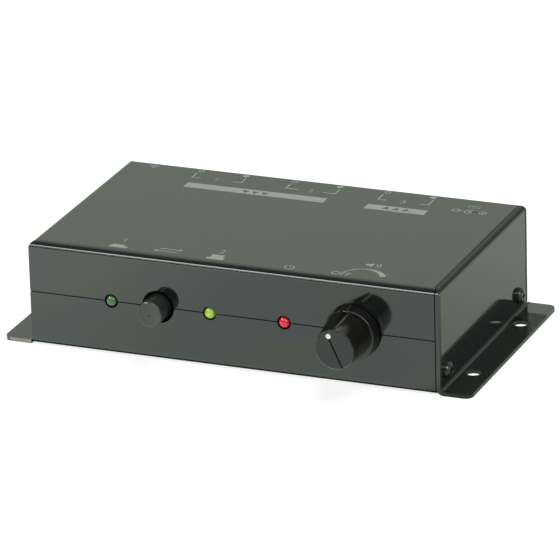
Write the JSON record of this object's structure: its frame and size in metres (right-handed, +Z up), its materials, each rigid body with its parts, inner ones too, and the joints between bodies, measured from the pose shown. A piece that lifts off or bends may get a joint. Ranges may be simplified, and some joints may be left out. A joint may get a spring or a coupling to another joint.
{
  "type": "phono preamp",
  "caption": "Folded sheet-metal audio case with mounting flanges, a pointer volume knob, a select button and lamps in front, and phono sockets, power inlet and ground terminal behind.",
  "frame": {"origin": "centre of the four flange holes, in the plane of the flange undersides", "axes": "-Y out of the front with the controls, +X to the right of someone facing the front and across both flanges, +Z up"},
  "size_m": [0.1236, 0.0838, 0.0272],
  "materials": {
    "case_paint": "gloss",
    "black_screws": "satin",
    "board": "satin",
    "bright_steel": "satin",
    "shaft_metal": "satin",
    "tinned_leads": "satin",
    "knob_plastic": "satin",
    "button_plastic": "satin",
    "black_plastic": "matte",
    "ivory_plastic": "satin",
    "phenolic": "matte",
    "contact_brass": "satin",
    "nickel": "gloss",
    "white_insert": "satin",
    "red_insert": "satin",
    "green_lamp": "gloss",
    "lime_lamp": "gloss",
    "red_lamp": "gloss",
    "can_sleeve": "satin",
    "film_coating": "satin",
    "ceramic_coating": "satin",
    "resistor_coating": "satin"
  },
  "bodies": {
    "housing": {"top_cover": "case_paint", "bottom_chassis": "case_paint", "cover_screws": "black_screws", "main_board": "board", "board_standoffs": "bright_steel", "board_screws": "bright_steel", "pot_case": "bright_steel", "pot_bushing": "bright_steel", "pot_track": "phenolic", "pot_pins": "tinned_leads", "power_switch_case": "black_plastic", "power_switch_blade": "contact_brass", "power_switch_pins": "tinned_leads", "switch_frame": "black_plastic", "switch_spring": "bright_steel", "switch_latch": "bright_steel", "switch_pins": "tinned_leads", "phono_lamp": "green_lamp", "aux_lamp": "lime_lamp", "power_lamp": "red_lamp", "lamp_holders": "black_plastic", "lamp_leads": "tinned_leads", "phono_jack_block": "black_plastic", "aux_jack_block": "black_plastic", "output_jack_block": "black_plastic", "phono_jack_shells": "nickel", "aux_jack_shells": "nickel", "output_jack_shells": "nickel", "left_jack_inserts": "white_insert", "right_jack_inserts": "red_insert", "jack_contacts": "contact_brass", "jack_pins": "tinned_leads", "dc_housing": "black_plastic", "dc_pin": "nickel", "dc_spring_contact": "contact_brass", "dc_pins": "tinned_leads", "ground_post": "contact_brass", "preamp_chip": "black_plastic", "buffer_chip": "black_plastic", "chip_pins": "tinned_leads", "regulator": "black_plastic", "supply_capacitors": "can_sleeve", "coupling_capacitors": "can_sleeve", "film_capacitors": "film_coating", "ceramic_capacitors": "ceramic_coating", "resistors": "resistor_coating", "protection_diode": "black_plastic"},
    "volume": {"volume_knob": "knob_plastic", "pot_shaft": "shaft_metal", "pot_rotor": "black_plastic", "power_switch_cam": "ivory_plastic"},
    "select": {"select_button": "button_plastic", "switch_plunger": "ivory_plastic", "switch_wipers": "contact_brass"},
    "ground_washer": {"ground_washer": "nickel"},
    "ground_screw": {"ground_screw": "nickel"}
  },
  "joints": [
    {"name": "volume_turn", "type": "hinge", "parent": "housing", "child": "volume", "pos_m": [0.0318, -0.0312, 0.014], "axis": [0, 1, 0], "range_deg": [-125.4, 174.6]},
    {"name": "select_push", "type": "slide", "parent": "housing", "child": "select", "axis": [0, 1, 0], "range_m": [0, 0.0025], "stiffness_N_per_m": 150, "springref_m": -0.005, "deforming": ["switch_spring"]},
    {"name": "ground_slide", "type": "slide", "parent": "housing", "child": "ground_washer", "axis": [0, 1, 0], "range_m": [0, 0.0021]},
    {"name": "ground_turn", "type": "hinge", "parent": "ground_washer", "child": "ground_screw", "pos_m": [-0.045, 0.0312, 0.014], "axis": [0, 1, 0], "range_deg": [0, 1080]}
  ],
  "couplings": [
    {"joint": "ground_turn", "follows": "ground_slide", "rad_per_m": 8976}
  ]
}
